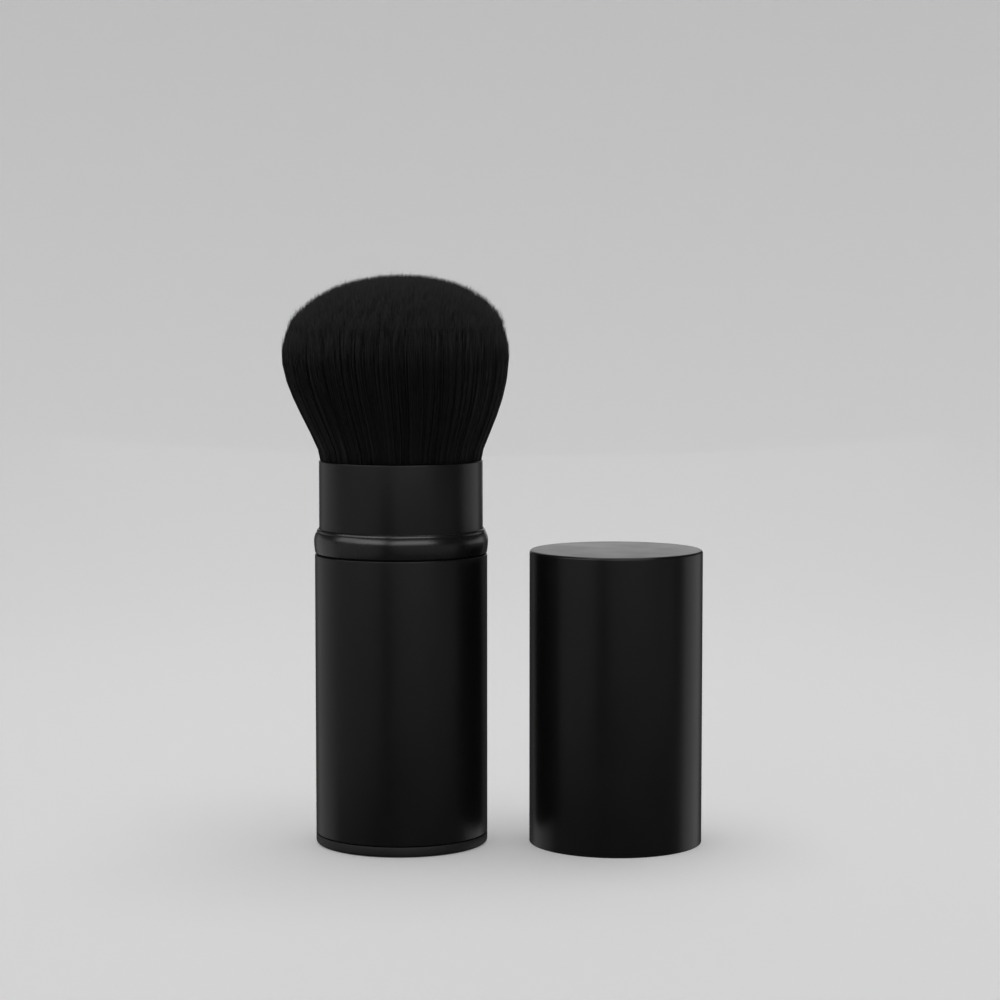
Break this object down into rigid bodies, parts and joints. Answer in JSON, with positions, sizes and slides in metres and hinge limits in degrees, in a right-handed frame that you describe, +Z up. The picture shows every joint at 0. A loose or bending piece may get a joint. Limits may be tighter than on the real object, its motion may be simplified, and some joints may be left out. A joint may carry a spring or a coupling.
{
  "type": "retractable makeup brush",
  "caption": "Short round face brush with a full domed head, a sliding sleeve that covers the hair and a loose cap standing beside it.",
  "frame": {"origin": "centre of the foot's underside, on the surface that the open brush stands on", "axes": "+Z up along the brush, +X towards the cap that stands beside it, +Y away from the picture's view"},
  "size_m": [0.0788, 0.042, 0.109],
  "materials": {
    "satin_aluminium": "satin black anodised",
    "gloss_black": "glossy black",
    "moulded_black": "moulded black",
    "steel": "plain steel slug",
    "resin": "set resin",
    "hair": "fine near-black synthetic fibre",
    "ring_rubber": "black rubber",
    "liner": "satin black polypropylene"
  },
  "bodies": {
    "core": {"foot": "moulded_black", "base_weight": "steel", "inner_barrel": "moulded_black", "ferrule_plug": "moulded_black", "glue_plug": "resin", "ferrule": "satin_aluminium", "bristles_centre": "hair", "bristles_inner": "hair", "bristles_middle": "hair", "bristles_outer": "hair"},
    "sleeve": {"sleeve_shell": "satin_aluminium", "collar": "gloss_black", "lower_bush": "moulded_black", "o_ring": "ring_rubber"},
    "cap": {"cap_shell": "satin_aluminium", "cap_liner": "liner"}
  },
  "joints": [
    {"name": "sleeve_slide", "type": "slide", "parent": "core", "child": "sleeve", "axis": [0, 0, 1], "range_m": [0, 0.0484], "deforming": ["bristles_centre", "bristles_inner", "bristles_middle", "bristles_outer"]},
    {"name": "cap_lift", "type": "slide", "parent": "core", "child": "cap", "axis": [0, 0, 1], "range_m": [0, 0.0565]}
  ]
}
